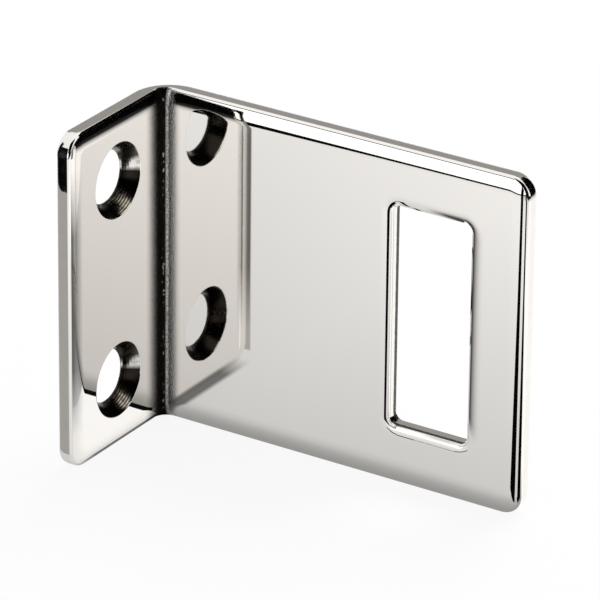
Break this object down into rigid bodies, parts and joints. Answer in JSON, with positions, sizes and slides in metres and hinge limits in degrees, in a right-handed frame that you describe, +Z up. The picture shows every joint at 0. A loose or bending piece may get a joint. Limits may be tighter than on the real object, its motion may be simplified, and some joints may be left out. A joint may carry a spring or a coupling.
{
  "type": "angle strike plate",
  "caption": "Polished sheet-metal strike plate folded to a right angle, with a rectangular latch window in the long plate and countersunk screw holes in the short flange.",
  "frame": {"origin": "on the screw flange's mounting face, midway between the two screw holes", "axes": "+X away from the mounting face and along the long plate, +Y from the flange's free end towards the long plate, +Z up along the bend"},
  "size_m": [0.0485, 0.0197, 0.04],
  "materials": {
    "polished_nickel": "mirror polished nickel plating on steel sheet"
  },
  "bodies": {
    "root": {"strike_plate": "polished_nickel"}
  },
  "joints": []
}
